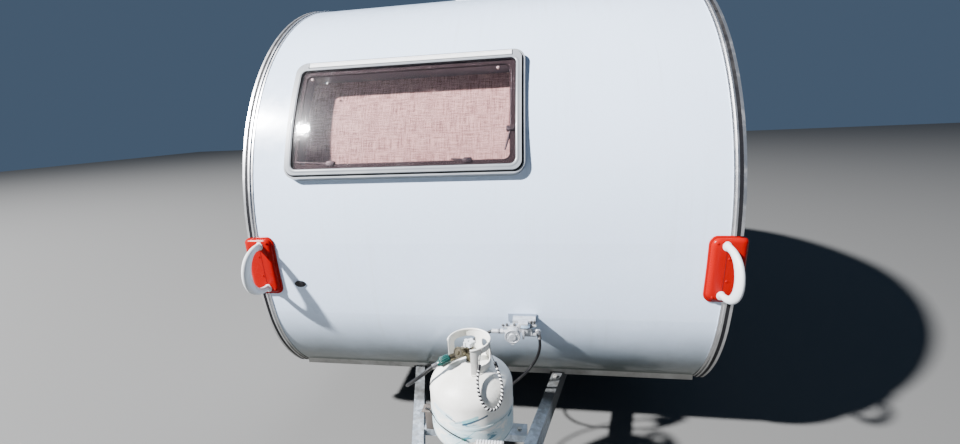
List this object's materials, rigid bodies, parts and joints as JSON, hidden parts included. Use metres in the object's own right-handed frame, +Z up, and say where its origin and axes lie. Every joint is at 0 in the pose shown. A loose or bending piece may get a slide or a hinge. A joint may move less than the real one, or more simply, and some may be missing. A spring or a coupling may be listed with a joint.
{
  "type": "teardrop trailer",
  "caption": "Small teardrop caravan with a hinged side door, windows, corner grab handles, a gas cylinder on the drawbar, road wheels, a tongue jack and rear steady legs.",
  "frame": {"origin": "on the floor, midway between the coupler's tip and the tail, on the middle plane", "axes": "+X to the trailer's left (the door is on the -X side), +Y from the hitch towards the tail, +Z up"},
  "size_m": [2.052, 4.65, 2.34],
  "materials": {
    "white_skin": "smooth gloss",
    "side_panel": "smooth gloss",
    "floor_board": "black sealed board",
    "trim_aluminium": "satin",
    "trim_rubber": "matt",
    "red_plastic": "gloss moulded",
    "grey_plastic": "satin moulded",
    "window_frame": "satin moulded",
    "smoked_acrylic": "smoked acrylic",
    "blind_weave": "coarse plain weave",
    "black_plastic": "moulded",
    "galvanised": "galvanised",
    "black_metal": "satin black",
    "zinc_steel": "zinc plated",
    "tyre": "rubber",
    "rim_silver": "silver paint",
    "drum_iron": "cast",
    "cylinder_paint": "weathered off-white",
    "brass": "dull",
    "green_plastic": "moulded",
    "cast_grey": "die cast",
    "hose_rubber": "smooth",
    "striped_cord": "black and white braid",
    "lamp_lens": "ribbed red lens"
  },
  "bodies": {
    "root": {"front_roof_skin": "white_skin", "rear_skin": "white_skin", "floor_panel": "floor_board", "side_wall_left": "side_panel", "side_wall_right": "side_panel", "edge_trims": "trim_aluminium", "edge_inserts": "trim_rubber", "front_corner_pieces": "red_plastic", "rear_corner_pieces": "red_plastic", "rear_lamps": "lamp_lens", "grab_handles": "grey_plastic", "front_window_frame": "window_frame", "front_window_pane": "smoked_acrylic", "front_window_blind": "blind_weave", "front_window_rail": "window_frame", "front_window_reveal": "window_frame", "body_window_frames": "window_frame", "body_window_panes": "smoked_acrylic", "body_window_blinds": "blind_weave", "wall_hinge_leaves": "trim_aluminium", "wheel_housings": "black_plastic", "fenders": "grey_plastic", "wall_vents": "grey_plastic", "drawbar_left": "galvanised", "drawbar_right": "galvanised", "chassis_rails": "galvanised", "cross_members": "galvanised", "coupler": "black_metal", "coupler_latch": "black_metal", "jack_tube": "zinc_steel", "jack_crank": "zinc_steel", "axle_beam": "galvanised", "trailing_arms": "galvanised", "steady_brackets": "galvanised", "gas_cylinder": "cylinder_paint", "cylinder_collar": "cylinder_paint", "cylinder_valve": "brass", "valve_nut": "green_plastic", "valve_handwheel": "grey_plastic", "regulator": "cast_grey", "pigtail_hose": "hose_rubber", "outlet_hose": "hose_rubber", "striped_cord": "striped_cord", "roof_vent": "grey_plastic", "plate_holder": "black_plastic"},
    "door": {"door_panel": "side_panel", "door_window_frame": "window_frame", "door_window_pane": "smoked_acrylic", "door_window_blind": "blind_weave", "door_handle": "black_plastic", "door_hinge_leaves": "trim_aluminium"},
    "jack_foot": {"jack_foot": "zinc_steel"},
    "wheel_left": {"tyre_left": "tyre", "rim_left": "rim_silver", "drum_left": "drum_iron"},
    "wheel_right": {"tyre_right": "tyre", "rim_right": "rim_silver", "drum_right": "drum_iron"},
    "steady_left": {"steady_leg_left": "zinc_steel"},
    "steady_right": {"steady_leg_right": "zinc_steel"}
  },
  "joints": [
    {"name": "wheel_left_spin", "type": "hinge", "parent": "root", "child": "wheel_left", "pos_m": [0.88, 0.7, 0.313], "axis": [1, 0, 0], "continuous": true},
    {"name": "wheel_right_spin", "type": "hinge", "parent": "root", "child": "wheel_right", "pos_m": [-0.88, 0.7, 0.313], "axis": [1, 0, 0], "continuous": true},
    {"name": "door_swing", "type": "hinge", "parent": "root", "child": "door", "pos_m": [-0.998, -0.503, 1.23], "axis": [0, 0, 1], "range_deg": [0, 110]},
    {"name": "jack_slide", "type": "slide", "parent": "root", "child": "jack_foot", "axis": [0, 0, 1], "range_m": [0, 0.28]},
    {"name": "steady_left_fold", "type": "hinge", "parent": "root", "child": "steady_left", "pos_m": [0.64, 1.44, 0.372], "axis": [-1, 0, 0], "range_deg": [0, 75]},
    {"name": "steady_right_fold", "type": "hinge", "parent": "root", "child": "steady_right", "pos_m": [-0.64, 1.44, 0.372], "axis": [-1, 0, 0], "range_deg": [0, 75]}
  ]
}
